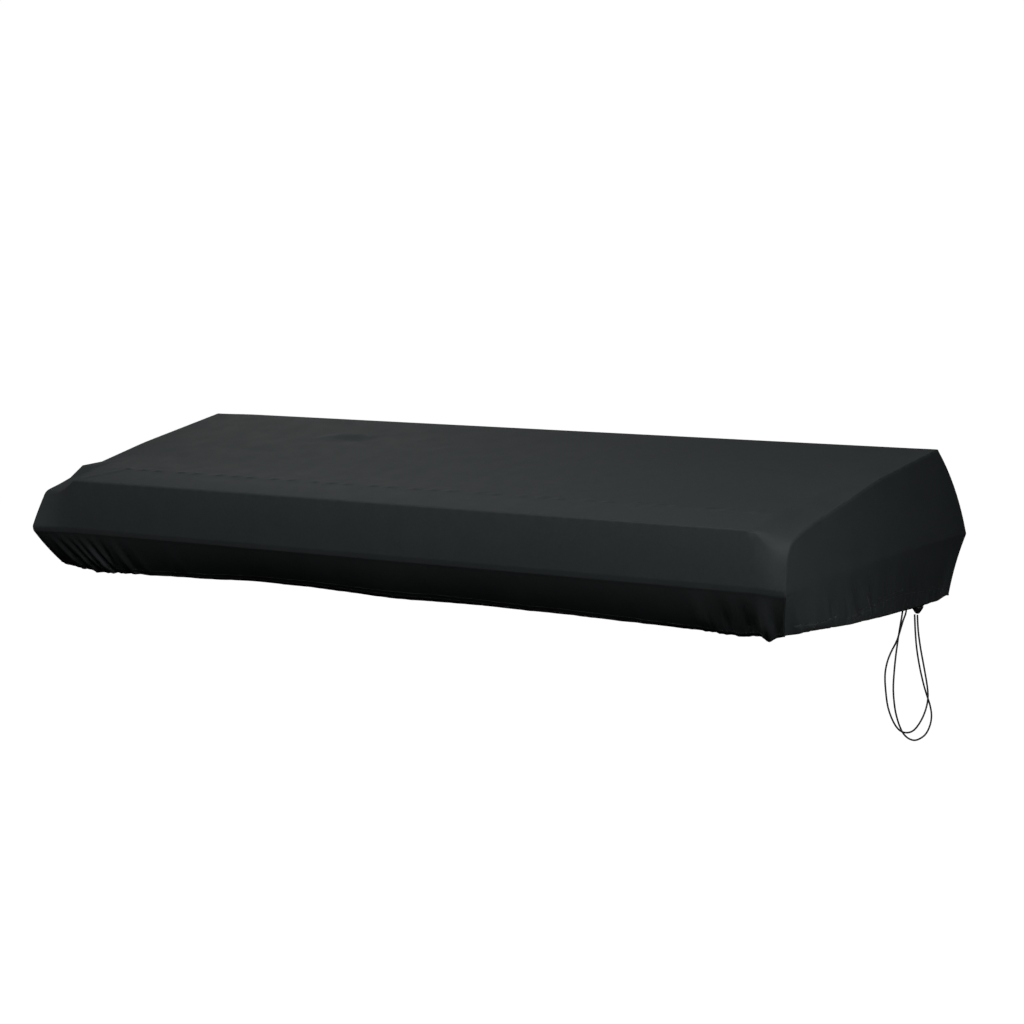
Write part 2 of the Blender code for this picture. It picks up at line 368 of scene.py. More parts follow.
drawcord = cord_finish()
for loop, line, node in (
    (outer_loop, outer_line, "drawcord_loop_outer"),
    (inner_loop, inner_line, "drawcord_loop_inner"),
):
    loop.data.materials.append(drawcord)
    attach(loop, "root")
    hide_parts(node)
    round(line_length(line), 3)
print("cord finish:", len(drawcord.node_tree.nodes), "nodes")

# %% [markdown]
# ## The cover's cross-section
#
# Every cloth hangs on one cross-section: up from the front hem, round the lower edge, over the
# crease and the ridge, up the sloping top and down the back. A table gives each corner its place
# in the middle of the cover and in the seam at either end, and the section changes from one to
# the other over a shoulder at each end. Between corners the cloth bows by a small share of its
# length there.

# %% The table of corners
LENGTH = 1188.0
HALF = LENGTH / 2
LEFT_SHOULDER = 78.0
RIGHT_SHOULDER = 44.0
LEFT_CREASE_HASTE = 1.4
RADIUS_SPAN = {"left": (0.3, 1.0), "right": (0.0, 0.8)}
ARC_POWER = 2.5
Place = namedtuple("Place", "y z radius")
Seam = namedtuple("Seam", "inset y z radius")
Corner = namedtuple("Corner", "name middle left right arc bow steps")
SECTION = (
    Corner(
        "front hem", Place(-170, -160, 0), Seam(20, -170, -156, 0), Seam(20, -170, -161, 0),
        0, 0.026, 15,
    ),
    Corner(
        "lower edge", Place(-200.5, -111, 1.5), Seam(0, -202.5, -113, 3), Seam(0, -200.5, -113, 3),
        3, 0, 2,
    ),
    Corner("rim", Place(-202, -104, 1.5), Seam(0, -204, -106, 3.5), Seam(0, -202, -106, 2), 2, 0.012, 7),
    Corner("crease", Place(-202, -41, 3), Seam(1, -180, -60.5, 9), Seam(1, -195, -54, 34), 9, 0.01, 8),
    Corner("ridge", Place(-152, -27, 10), Seam(5, -157, -52, 9), Seam(3, -146, -38, 15), 11, 0, 3),
    Corner("step foot", Place(-124, -22.8, 0), Seam(6, -139, -45, 0), Seam(4, -120, -31, 0), 0, 0, 3),
    Corner("step top", Place(-110, -20.7, 0), Seam(6, -116, -30, 0), Seam(4, -105, -27, 0), 0, 0, 5),
    Corner("step back", Place(-75, -14.5, 0), Seam(6, -80, -27, 0), Seam(4, -71, -18, 0), 0, 0, 9),
    Corner("top break", Place(8, 4, 30), Seam(6, 1, -5.5, 20), Seam(6, 6, 3, 20), 5, 0, 17),
    Corner("back edge", Place(149, 29.5, 4), Seam(10, 149, 28.5, 4), Seam(9, 149, 29.5, 3), 3, 0.06, 8),
    Corner("widest", Place(206, -75, 8), Seam(3, 206, -76, 8), Seam(3, 210, -75.5, 2), 3, -0.048, 9),
    Corner("back hem", Place(178, -155, 0), Seam(12, 180, -152, 0), Seam(10, 181, -151, 0), 0, 0.0, 0),
)
LOWER_EDGE = 1
CREASE = 3
BACK_EDGE = 9
WIDEST = 10
print("corners:", ", ".join(corner.name for corner in SECTION))

# %% The tables of hems and folds
Drop = namedtuple("Drop", "x z")
FRONT_HEM = (
    Drop(-574, -156.5), Drop(-561, -159.5), Drop(-523, -163), Drop(-501, -165.5), Drop(-426, -163),
    Drop(-317, -160.5), Drop(-212, -157), Drop(-144, -157.5), Drop(20, -161), Drop(144, -159.5),
    Drop(264, -160), Drop(378, -161.5), Drop(461, -162.5), Drop(515, -165.5), Drop(540, -163.5),
    Drop(555, -167), Drop(565, -162.5), Drop(574, -161),
)
BACK_HEM = (
    Drop(-582, -152), Drop(-470, -157), Drop(-250, -153), Drop(-40, -156), Drop(190, -153.5),
    Drop(430, -157), Drop(584, -148),
)
EndHem = namedtuple("EndHem", "share inset z")
LEFT_HEM = (
    EndHem(0, 20, -156), EndHem(0.3, 22, -160), EndHem(0.7, 18, -158), EndHem(1, 12, -152),
)
RIGHT_HEM = (
    EndHem(0, 20, -161), EndHem(0.06, 9, -158.5), EndHem(0.14, 4, -158), EndHem(0.3, 5, -158),
    EndHem(0.5, 11, -158.5), EndHem(0.8, 17, -157.5), EndHem(0.93, 14, -153.5), EndHem(1, 10, -148),
)
HEM_SETTLES = 1 / 20
Fold = namedtuple("Fold", "at slant width height")
FRONT_FOLDS = (
    Fold(-570, 40, 4.0, 2.2), Fold(-560, 44, 3.2, -2.0), Fold(-551, 47, 4.0, 2.1),
    Fold(-541, 47, 3.0, -2.2), Fold(-532, 45, 3.6, 2.0), Fold(-524, 42, 3.0, -2.0),
    Fold(-514, 39, 4.4, 3.3), Fold(-502, 34, 3.6, -3.4), Fold(-489, 24, 4.2, 2.0),
    Fold(-474, 10, 5.0, -3.0), Fold(-454, 18, 5.0, 3.0), Fold(-441, 15, 4.0, -1.2),
    Fold(-424, 20, 5.0, 0.8), Fold(-352, 20, 9.0, 1.0),
    Fold(470, 6, 9.0, 2.0), Fold(505, 4, 8.0, -2.0), Fold(532, 2, 8.0, -3.0),
    Fold(563, -8, 7.5, 4.5),
)
BACK_FOLDS = (
    Fold(-560, 14, 8.0, 2.5), Fold(-528, 16, 8.0, -2.0), Fold(-498, 16, 9.0, 2.0),
    Fold(536, -14, 8.0, 2.0), Fold(563, -12, 8.0, -2.0),
)
LEFT_FOLDS = (
    Fold(-168, 6, 8.0, -2.0), Fold(-130, 4, 8.0, -2.5), Fold(-70, 2, 10.0, -2.0),
    Fold(40, -2, 10.0, -2.0), Fold(110, -4, 9.0, -2.5),
)
RIGHT_FOLDS = (
    Fold(-103, 16, 7.0, -0.6), Fold(-70, 20, 10.0, 0.8), Fold(-54, 32, 8.0, -1.2),
    Fold(-34, 28, 7.0, 0.8), Fold(-16, 24, 6.0, -0.8), Fold(24, 12, 7.0, -0.5),
    Fold(62, 8, 8.0, -0.6), Fold(92, 4, 8.0, -0.5),
)
FOLD_ONSET = 1.3
FOLD_FREE = 1 / 8
HEM_CALM = 0.55
HEM_CALM_FROM = 0.7
HEM_CALM_SPAN = 0.3


def fold_at(folds, place, fall):
    """How far the folds push the cloth out at a place, where fall runs from 0 to 1 at the hem."""
    pushed = sum(f.height * bell(place - f.at - f.slant * fall, f.width) for f in folds)
    calm = HEM_CALM * smooth((fall - HEM_CALM_FROM) / HEM_CALM_SPAN)
    return pushed * smooth(fall * FOLD_ONSET) * (1 - calm)


print("main folds:", len(FRONT_FOLDS + BACK_FOLDS + LEFT_FOLDS + RIGHT_FOLDS))

# %% The section at any place along the cover
def corners_at(x):
    """The corners of the section at x along the cover, as points and radii."""
    end = "left" if x < 0 else "right"
    shoulder = LEFT_SHOULDER if x < 0 else RIGHT_SHOULDER
    nearness = (abs(x) - HALF + shoulder) / shoulder
    radius_start, radius_end = RADIUS_SPAN[end]
    rounded = smooth((nearness - radius_start) / (radius_end - radius_start))
    fallen = min(max(nearness * LEFT_CREASE_HASTE, 0.0), 1.0)
    points = []
    radii = []
    for corner in SECTION:
        middle = corner.middle
        seam = getattr(corner, end)
        sudden = corner.name == "crease" and x < 0
        share = smooth(nearness)
        drop = fallen * (2 - fallen) if sudden else share
        y = middle.y + (seam.y - middle.y) * share
        z = middle.z + (seam.z - middle.z) * drop
        points.append(Vector((x * (1 - seam.inset / HALF), y, z)))
        radii.append(middle.radius + (seam.radius - middle.radius) * rounded)
    points[0].z = table_at(FRONT_HEM, points[0].x)[0]
    points[-1].z = table_at(BACK_HEM, points[-1].x)[0]
    return points, radii


def fold_band(points, folds):
    """Pushes the points of a band that turns under, from its edge to its hem, by its folds."""
    first = points[0].copy()
    out = outward(first, points[-1])
    if out.z > 0:
        out = -out
    length = (points[-1] - first).length
    for point in points:
        fall = (point - first).length / length
        point += out * fold_at(folds, point.x, fall)


# %% The points of a section
def section_at(x):
    """The section's points at x, and which of them is the middle of each corner."""
    corners, radii = corners_at(x)
    points = [corners[0]]
    middles = [0]
    for i in range(1, len(SECTION)):
        stretch = SECTION[i - 1]
        arc = SECTION[i].arc
        corner = corners[i]
        back = (corners[i - 1] - corner).normalized() * radii[i]
        start = points[-1]
        end = corner + back
        out = outward(start, end)
        for step in range(1, stretch.steps + 1):
            share = step / (stretch.steps + 1)
            bow = stretch.bow * (end - start).length * 4 * share * (1 - share)
            points.append(start.lerp(end, share) + out * bow)
        points.append(end)
        middles.append(len(points) - 1 + (arc + 1) // 2)
        if arc:
            ahead = (corners[i + 1] - corner).normalized() * radii[i]
            for step in range(1, arc + 2):
                share = step / (arc + 1)
                points.append(corner + back * (1 - share) ** ARC_POWER + ahead * share ** ARC_POWER)
    fold_band(points[middles[1]::-1], FRONT_FOLDS)
    fold_band(points[middles[-2]:], BACK_FOLDS)
    return points, middles


middle_section, middles = section_at(0.0)
print(len(middle_section), "points in a section,", round(line_length(middle_section), 1), "mm round")

# %% [markdown]
# ## What shows through the top
#
# The cloth is pulled over something hard. A row of raised marks shows along the ridge, in a
# repeat of five, and tiny notches show along the crease. Towards the left of the top one larger
# bulge drags the cloth beside it. All of them are small heights added to the section: each mark
# has a short steep front and fades out to the back.

# %% The marks and the notches
REPEAT = 164.5
MARK_START = -552.28
MARK_PLACES = (1.5, 3.5, 6.5, 8.5, 10.5)
MARK_RANGE = (-500.0, 546.0)
MARK_WIDTH = 6.0
MARK_HEIGHT = 1.5
MARK_Y = -151.5
MARK_FRONT = 3.4
MARK_BACK = 12.0
NOTCH_PITCH = REPEAT / 7
NOTCH_START = -505.28
NOTCH_LAST = 505.0
NOTCH_WIDTH = 2.4
NOTCH_REACH = 2.5
NOTCH_DEPTH = 0.6
MARKS = [
    MARK_START + REPEAT * (group + place / 12)
    for group in range(7)
    for place in MARK_PLACES
    if MARK_RANGE[0] < MARK_START + REPEAT * (group + place / 12) < MARK_RANGE[1]
]


def marks_at(x, y):
    """How far the row of marks lifts the cloth."""
    across = sum(bell(x - mark, MARK_WIDTH) for mark in MARKS if abs(x - mark) < 3 * MARK_WIDTH)
    front = smooth((y - MARK_Y + MARK_FRONT) / MARK_FRONT)
    back = 1 - smooth((y - MARK_Y) / MARK_BACK)
    return MARK_HEIGHT * across * front * back


def notches_at(x, away):
    """The small notches in the crease, at a distance away from its middle."""
    if abs(x) > NOTCH_LAST:
        return 0.0
    offset = (x - NOTCH_START + NOTCH_PITCH / 2) % NOTCH_PITCH - NOTCH_PITCH / 2
    return -NOTCH_DEPTH * bell(offset, NOTCH_WIDTH) * bell(away, NOTCH_REACH)


print(len(MARKS), "marks")

# %% The bulge and the creases
Crease = namedtuple("Crease", "start end widths heights")
TOP_CREASES = (
    Crease((-282, 50), (-226, 60), (13, 12), (3.2, 2.6)),
    Crease((-270, 56), (-240, 60), (6, 6), (2.0, 2.2)),
    Crease((-292, 30), (-216, 42), (8, 7), (-1.0, -1.4)),
    Crease((-330, 44), (-296, 40), (9, 7), (0.2, 1.2)),
    Crease((-216, 44), (-120, 34), (7, 5), (0.9, 0.3)),
    Crease((-214, 30), (-96, 22), (7, 6), (-0.7, -0.3)),
    Crease((-106, 32), (-10, 29), (4, 4), (0.5, 0.2)),
    Crease((-462, -3), (-382, 7), (6, 6), (0.4, 0.3)),
    Crease((-425, -24), (-317, -27), (6, 6), (-0.4, -0.3)),
    Crease((132, 22), (274, 27), (4, 5), (0.6, 0.4)),
    Crease((140, 12), (268, 18), (5, 5), (-0.5, -0.3)),
    Crease((141, 70), (276, 80), (5, 6), (0.4, 0.4)),
    Crease((263, 14), (480, 8), (6, 6), (0.4, 0.5)),
    Crease((-508, -196), (-468, -156), (4, 5), (1.0, 1.0)),
)
FRONT_CREASES = (
    Crease((549, -42), (562, -42), (2.5, 3.5), (-1.2, -0.5)),
)


def creases_at(creases, across, along):
    """How far the creases of a face lift it, at a place given in that face's two directions."""
    height = 0.0
    for crease in creases:
        start_across, start_along = crease.start
        run_across = crease.end[0] - start_across
        run_along = crease.end[1] - start_along
        share = (across - start_across) * run_across + (along - start_along) * run_along
        share = min(max(share / (run_across ** 2 + run_along ** 2), 0.0), 1.0)
        off = hypot(across - start_across - run_across * share, along - start_along - run_along * share)
        width = crease.widths[0] + (crease.widths[1] - crease.widths[0]) * share
        if off < 3 * width:
            here = crease.heights[0] + (crease.heights[1] - crease.heights[0]) * share
            height += here * bell(off, width)
    return height


print(len(TOP_CREASES + FRONT_CREASES), "creases")

# %% [markdown]
# ## The gathers at the hem
#
# The cord bunches the channel hem into many small uneven gathers. They are drawn once from a
# seeded list of soft bumps, so that they look uneven but are the same in each run. They start
# near the hem and are strongest at the corners, where the cloth has most to take in.

# %% Small gathers
GATHER_PITCH = 7.5
GATHER_WIDTHS = (0.22, 0.4)
GATHER_STEPS = (0.6, 1.4)
GATHER_ONSET = 0.35
END_GATHER_ONSET = 0.7
Gather = namedtuple("Gather", "at width height")


def draw_gathers(start, end, pitch, height, seed):
    """Uneven small gathers between two places, about a pitch apart."""
    draw = random.Random(seed)
    gathers = []
    at = start
    while at < end:
        width = pitch * draw.uniform(*GATHER_WIDTHS)
        gathers.append(Gather(at, width, height * draw.uniform(-1, 1)))
        at += pitch * draw.uniform(*GATHER_STEPS)
    return gathers


def gathers_at(gathers, place, fall, onset):
    """How far the gathers push the cloth, from nothing at the onset to all of it at the hem."""
    near = [g for g in gathers if abs(place - g.at) < 4 * g.width]
    pushed = sum(g.height * bell(place - g.at, g.width) for g in near)
    return smooth((fall - onset) / (1 - onset)) * pushed


FRONT_GATHERS = (
    draw_gathers(-585, -440, GATHER_PITCH, 1.1, 3)
    + draw_gathers(-440, 440, 2.4 * GATHER_PITCH, 0.5, 4)
    + draw_gathers(440, 585, GATHER_PITCH, 1.1, 5)
)
BACK_GATHERS = (
    draw_gathers(-585, -440, GATHER_PITCH, 0.9, 6)
    + draw_gathers(-440, 440, 2.4 * GATHER_PITCH, 0.5, 7)
    + draw_gathers(440, 585, GATHER_PITCH, 0.9, 8)
)
LEFT_GATHERS = draw_gathers(-190, 190, 0.8 * GATHER_PITCH, 0.9, 9)
RIGHT_GATHERS = (
    draw_gathers(-190, -80, 0.8 * GATHER_PITCH, 1.6, 10)
    + draw_gathers(-80, 190, 0.6 * GATHER_PITCH, 0.8, 11)
)
print("gathers:", sum(len(g) for g in (FRONT_GATHERS, BACK_GATHERS, LEFT_GATHERS, RIGHT_GATHERS)))

# %% [markdown]
# ## From a flat grid to a cloth
#
# A cloth is easiest to keep even when it starts as a flat grid from the grid operator. Each
# point of the grid is then moved to its place on the cover, and its UV holds the real length
# along the cloth, so that the knit keeps its size on every fold. At the hem the cloth turns up
# inside, as a sewn channel does. At a seam both cloths roll in, and their lips meet in a groove.

# %% Helpers for cloth
CLOTH = 0.9
LIP_REACH = 2.0
LIP_DEPTH = 1.0
LIP_TUCK = 0.1
LIP_STEPS = 4
SEAM_CALM = 15.0
HEM_ROUND = 1.5
HEM_TURNED_UP = 13.0
TURN_STEPS = 5
CLOTH_WELD = 0.00002


def lip(step):
    """A seam's rolled lip: how far a step of it stays from the corner, and how deep it lies."""
    t = step / LIP_STEPS
    reach = LIP_REACH * (1 - t) ** 2 + LIP_TUCK * LIP_REACH * 2 * t * (1 - t) + LIP_DEPTH * t ** 2
    return reach, LIP_DEPTH * t ** 2


def turned_hem(last, down, inside):
    """The points past the last one of a cloth: round the hem's fold and up inside it."""
    centre = last - down * HEM_ROUND + inside * HEM_ROUND
    turned = []
    for step in range(1, TURN_STEPS + 1):
        angle = pi * step / TURN_STEPS
        turned.append(centre - inside * cos(angle) * HEM_ROUND + down * sin(angle) * HEM_ROUND)
    turned.append(turned[-1] - down * HEM_TURNED_UP)
    return turned


def cloth_sheet(name, places, flip):
    """A grid of cloth with its points at the given places, in millimetres, and a thickness."""
    across = len(places) - 1
    along = len(places[0]) - 1
    lengths = [[0.0] * (along + 1) for column in places]
    for column, walked in zip(places, lengths):
        for j in range(along):
            walked[j + 1] = walked[j] + (column[j + 1] - column[j]).length
    bm = bmesh.new()
    bmesh.ops.create_grid(bm, x_segments=across, y_segments=along, size=0.5)
    index = {
        vert: (round((vert.co.x + 0.5) * across), round((vert.co.y + 0.5) * along))
        for vert in bm.verts
    }
    uv = bm.loops.layers.uv.new("cloth")
    for face in bm.faces:
        for loop in face.loops:
            i, j = index[loop.vert]
            sideways = places[i][j].x if abs(places[-1][0].x - places[0][0].x) > HALF else places[i][j].y
            loop[uv].uv = (sideways * MM, lengths[i][j] * MM)
    for vert, (i, j) in index.items():
        vert.co = places[i][j] * MM
    bmesh.ops.remove_doubles(bm, verts=bm.verts, dist=CLOTH_WELD)
    if flip:
        bmesh.ops.reverse_faces(bm, faces=bm.faces)
    cloth = new_piece(name, bm)
    thickness = cloth.modifiers.new("thickness", "SOLIDIFY")
    thickness.thickness = CLOTH * MM
    thickness.offset = -1
    return cloth


# %% The main cloth
Span = namedtuple("Span", "start end pitch")
NOTCHED_FROM = NOTCH_START + 2 * NOTCH_PITCH
NOTCHED_TO = NOTCH_START + 41 * NOTCH_PITCH
SPANS = (
    Span(LIP_REACH - HALF, NOTCHED_FROM, 2.0),
    Span(NOTCHED_FROM, NOTCHED_TO, NOTCH_PITCH / 5),
    Span(NOTCHED_TO, HALF - LIP_REACH, 2.5),
)


def stations():
    """The places along the cover where the main cloth has a column of points."""
    places = [SPANS[0].start]
    for span in SPANS:
        count = round((span.end - span.start) / span.pitch)
        places += [span.start + (span.end - span.start) * (i + 1) / count for i in range(count)]
    return places


def main_column(x, reach=0.0, depth=0.0):
    """One column of the main cloth, over the section at x, with all its small relief."""
    points, middles = section_at(x)
    last = len(points) - 1
    directions = [outward(points[max(i - 1, 0)], points[min(i + 1, last)]) for i in range(last + 1)]
    crease = points[middles[CREASE]]
    free = smooth((HALF - abs(x)) / SEAM_CALM)
    moved = []
    for i, (point, out) in enumerate(zip(points, directions)):
        height = 0.0
        if middles[LOWER_EDGE] < i < middles[BACK_EDGE]:
            height += notches_at(point.x, (point - crease).length)
            if i > middles[CREASE]:
                height += marks_at(point.x, point.y) + creases_at(TOP_CREASES, point.x, point.y)
            else:
                height += creases_at(FRONT_CREASES, point.x, point.z)
        elif i <= middles[LOWER_EDGE]:
            fall = 1 - i / middles[LOWER_EDGE]
            height += free * gathers_at(FRONT_GATHERS, point.x, fall, GATHER_ONSET)
        elif i >= middles[WIDEST]:
            fall = (i - middles[WIDEST]) / (last - middles[WIDEST])
            height += free * gathers_at(BACK_GATHERS, point.x, fall, GATHER_ONSET)
        shift = Vector((reach if x < 0 else -reach, 0, 0))
        moved.append(point + out * (height - depth) + shift)
    front = turned_hem(moved[0], (moved[0] - moved[1]).normalized(), -directions[0])
    back = turned_hem(moved[-1], (moved[-1] - moved[-2]).normalized(), -directions[-1])
    return front[::-1] + moved + back


main_places = [main_column(-HALF, *lip(step)) for step in range(LIP_STEPS, 0, -1)]
main_places += [main_column(x) for x in stations()]
main_places += [main_column(HALF, *lip(step)) for step in range(1, LIP_STEPS + 1)]
main_cloth = cloth_sheet("main_cloth", main_places, flip=False)
print("main cloth:", len(main_places), "x", len(main_places[0]), "points")
print("main cloth:", triangles(main_cloth), "triangles")

# %% [markdown]
# ## The end cloths
#
# An end cloth is stretched inside the seam at three sides and hangs free at its hem. A Coons
# patch gives that surface: it is ruled between the top and the hem, ruled again between the
# front and the back seam, and what both have in common is taken off once.

# %% Sizes of the end cloths
END_PITCH = 1.75
END_ROWS_ABOVE = 44
END_ROWS_BELOW = 36
END_EDGE_SHARE = 6 / 11
CURL_START = 0.84
CURL_DEPTH = 6.0
CURL_WHOLE = 0.1
CURL_FADE = 0.25
WELT = 0.3
WELT_WIDTH = 8.0
RIGHT_CREASES = (
    Crease((-54, -111), (-24, -147), (8, 4), (-0.6, -3.2)),
    Crease((-36, -112), (-6, -150), (5, 4), (0.4, 1.8)),
    Crease((-18, -112), (8, -147), (4.5, 3.5), (-0.6, -2.4)),
    Crease((0, -114), (26, -150), (5, 4), (0.2, 0.8)),
    Crease((-101, -128), (-90, -155), (1.8, 2.4), (-0.9, -3.0)),
    Crease((-110, -126), (-102, -156), (5, 6), (0.3, 1.0)),
    Crease((-70, -124), (-60, -148), (3, 4), (-0.4, -1.2)),
    Crease((44, -106), (52, -134), (3, 3), (0.2, 0.5)),
    Crease((66, -106), (72, -132), (3, 3), (0.2, 0.5)),
    Crease((82, -108), (87, -132), (2.5, 2.5), (0.2, 0.4)),
    Crease((95, -108), (99, -132), (2.5, 2.5), (0.2, 0.4)),
    Crease((112, -108), (114, -132), (3, 3), (0.2, 0.4)),
    Crease((-196, -114), (-186, -110), (2, 3), (-1.4, -0.4)),
)


# %% The seam round an end
def seam_frame(side):
    """The seam at one end: its top, front and back stretches, with an outward direction each."""
    section, middles = section_at(side * HALF)
    crease = middles[CREASE]
    edge = middles[LOWER_EDGE]
    back_edge = middles[BACK_EDGE]
    widest = middles[WIDEST]
    top = section[crease:back_edge + 1]
    columns = round(line_length(top) / END_PITCH)
    top = even_points(top, columns)
    front = even_points(section[crease:edge - 1:-1], END_ROWS_ABOVE)
    front += even_points(section[edge::-1], END_ROWS_BELOW)[1:]
    back = even_points(section[back_edge:widest + 1], END_ROWS_ABOVE)
    back += even_points(section[widest:], END_ROWS_BELOW)[1:]
    return top, front, back


def seam_directions(points, reverse):
    """The outward direction at each point of a stretch of the seam."""
    last = len(points) - 1
    directions = [outward(points[max(i - 1, 0)], points[min(i + 1, last)]) for i in range(last + 1)]
    return [-direction for direction in directions] if reverse else directions


def hem_hang(hem_rows, share, side, straight):
    """How far an end cloth's hem hangs away from a place on the straight line of its corners."""
    inset, height = table_at(hem_rows, share)
    hung = Vector((side * (HALF - inset), straight.y, height))
    return (hung - straight) * smooth(min(share, 1 - share) / HEM_SETTLES)


# %% The end cloths
def end_cloth(name, side, hem_rows, folds, creases, gathers):
    """An end cloth: a grid inside the seam, its rolled lips and its turned-up hem."""
    top, front, back = seam_frame(side)
    top_out = seam_directions(top, False)
    front_out = seam_directions(front, True)
    back_out = seam_directions(back, False)

    def inner(points, outs, step):
        """A stretch of the seam, moved to a step of its rolled lip."""
        reach, depth = lip(step)
        return [p - out * reach - Vector((side * depth, 0, 0)) for p, out in zip(points, outs)]

    top_inner = inner(top, top_out, 0)
    front_inner = inner(front, front_out, 0)
    back_inner = inner(back, back_out, 0)
    front_inner[0] = top_inner[0]
    back_inner[0] = top_inner[-1]
    rows = len(front) - 1
    columns = []
    for i, across in enumerate(top_inner):
        share = i / (len(top_inner) - 1)
        hang = hem_hang(hem_rows, share, side, front_inner[-1].lerp(back_inner[-1], share))
        bend = across - top_inner[0].lerp(top_inner[-1], share)
        free = smooth(min(share, 1 - share) / FOLD_FREE)
        column = []
        for j in range(rows + 1):
            fall = max(j - END_ROWS_ABOVE, 0) / END_ROWS_BELOW
            down = END_EDGE_SHARE * min(j / END_ROWS_ABOVE, 1) + (1 - END_EDGE_SHARE) * fall
            point = front_inner[j].lerp(back_inner[j], share) + bend * (1 - down) + hang * fall
            pushed = fold_at(folds, point.y, fall)
            pushed += gathers_at(gathers, point.y, fall, END_GATHER_ONSET)
            curled = max(fall - CURL_START, 0) / (1 - CURL_START)
            pushed -= CURL_DEPTH * curled ** 2 * (1 - smooth((share - CURL_WHOLE) / CURL_FADE))
            pushed += WELT * bell((column[0] - point).length, WELT_WIDTH) if column else WELT
            point.x += side * (free * pushed + creases_at(creases, point.y, point.z))
            column.append(point)
        lips = [inner([top[i]], [top_out[i]], step)[0] for step in range(LIP_STEPS, 0, -1)]
        columns.append(lips + column)
    before = []
    after = []
    for step in range(1, LIP_STEPS + 1):
        edge_front = inner(front, front_out, step)
        edge_back = inner(back, back_out, step)
        corner_front = [columns[0][LIP_STEPS - max(step, up)] for up in range(LIP_STEPS, 0, -1)]
        corner_back = [columns[len(top) - 1][LIP_STEPS - max(step, up)] for up in range(LIP_STEPS, 0, -1)]
        edge_front[0] = corner_front[-1] if step == 1 else inner([top[0]], [top_out[0]], step)[0]
        edge_back[0] = corner_back[-1] if step == 1 else inner([top[-1]], [top_out[-1]], step)[0]
        before.insert(0, corner_front + edge_front)
        after.append(corner_back + edge_back)
    columns = before + columns + after
    inside = Vector((-side, 0, 0))
    for column in columns:
        down = (column[-1] - column[-3]).normalized()
        column += turned_hem(column[-1], down, (inside - down * inside.dot(down)).normalized())
    return cloth_sheet(name, columns, flip=side > 0), [column[::-1] for column in columns]


left_cloth, left_columns = end_cloth("left_end_cloth", -1, LEFT_HEM, LEFT_FOLDS, (), LEFT_GATHERS)
right_cloth, right_columns = end_cloth(
    "right_end_cloth", 1, RIGHT_HEM, RIGHT_FOLDS, RIGHT_CREASES, RIGHT_GATHERS)
print("end cloths:", triangles(left_cloth), triangles(right_cloth), "triangles")

# %% [markdown]
# ## Stitches
#
# Two rows of stitches hold the channel hem. A row follows the cloth at a rise above its hem, and
# a table gives that rise from place to place, because the hem rolls under here and there. Each
# stitch is a little ball, drawn out along its row and half sunk in the cloth.

# %% The rows of stitches
Rise = namedtuple("Rise", "place rise")
FRONT_RISE = (
    Rise(-594, 9), Rise(-440, 8), Rise(52, 11.7), Rise(219, 8.5), Rise(345, 8), Rise(401, 6),
    Rise(594, 6),
)
RIGHT_RISE = (
    Rise(-180, 0), Rise(-96, 0), Rise(-72, 6), Rise(-50, 9.4), Rise(-28, 12), Rise(-6, 18.7),
    Rise(17, 23.3), Rise(70, 27), Rise(114, 25.3), Rise(135, 22.6), Rise(156, 15), Rise(178, 6),
)
OTHER_RISE = (Rise(-600, 10), Rise(600, 10))
ROW_GAP = 5.4
STITCH_PITCH = 3.2
STITCH_LONG = 1.25
STITCH_THICK = 0.34
LEAST_RISE = 0.8


def above_hem(column, rise):
    """The point of a column at a rise above its hem. The column starts inside the hem's fold."""
    for start, end in zip(column[TURN_STEPS + 1:], column[TURN_STEPS + 2:]):
        step = (end - start).length
        if step >= rise:
            return start.lerp(end, rise / step)
        rise -= step
    return end


def stitch_row(columns, axis, rises, drop):
    """The ends of a row's stitches on a cloth, where it runs at least a little above the hem."""
    line = []
    for column in columns:
        rise = table_at(rises, column[TURN_STEPS + 1][axis])[0] - drop
        if rise > LEAST_RISE:
            line.append(above_hem(column, rise))
    return even_points(line, round(line_length(line) / STITCH_PITCH))


# %% The stitches
def stitches(name, rows):
    """All the stitches of some rows, as one piece."""
    bm = bmesh.new()
    size = Matrix.Diagonal((STITCH_LONG * MM, STITCH_THICK * MM, STITCH_THICK * MM, 1))
    for row in rows:
        for start, end in zip(row, row[1:]):
            turn = (end - start).to_track_quat("X", "Z").to_matrix().to_4x4()
            place = Matrix.Translation(start.lerp(end, 0.5) * MM)
            bmesh.ops.create_icosphere(bm, subdivisions=1, radius=1.0, matrix=place @ turn @ size)
    return new_piece(name, bm)


def two_rows(columns, axis, rises):
    """The two rows of stitches along a cloth's hem."""
    return [stitch_row(columns, axis, rises, drop) for drop in (0, ROW_GAP)]


main_columns = main_places[LIP_STEPS:-LIP_STEPS]
back_columns = [column[::-1] for column in main_columns]
front_rows = two_rows(main_columns, 0, FRONT_RISE)
back_rows = two_rows(back_columns, 0, OTHER_RISE)
left_rows = two_rows(left_columns[LIP_STEPS:-LIP_STEPS], 1, OTHER_RISE)
right_rows = two_rows(right_columns[LIP_STEPS:-LIP_STEPS], 1, RIGHT_RISE)
main_stitches = stitches("main_stitches", front_rows + back_rows)
left_stitches = stitches("left_stitches", left_rows)
right_stitches = stitches("right_stitches", right_rows)
print("stitch triangles:", triangles(main_stitches), triangles(left_stitches), triangles(right_stitches))

# %% [markdown]
# ## The knit
#
# The cloth is a fine black jersey. Up close its face is rows of small V-shaped stitches, about
# 0.7 mm wide. A pattern of that kind is a fraction of the real length across, folded about its
# middle, which shifts a wave that runs along. From a step away only a faint uneven sheen is left
# of it, which slow noise in the colour and the roughness gives.

# %% The cloth's finish
KNIT_WIDTH = 0.0007
KNIT_LENGTH = 0.0006


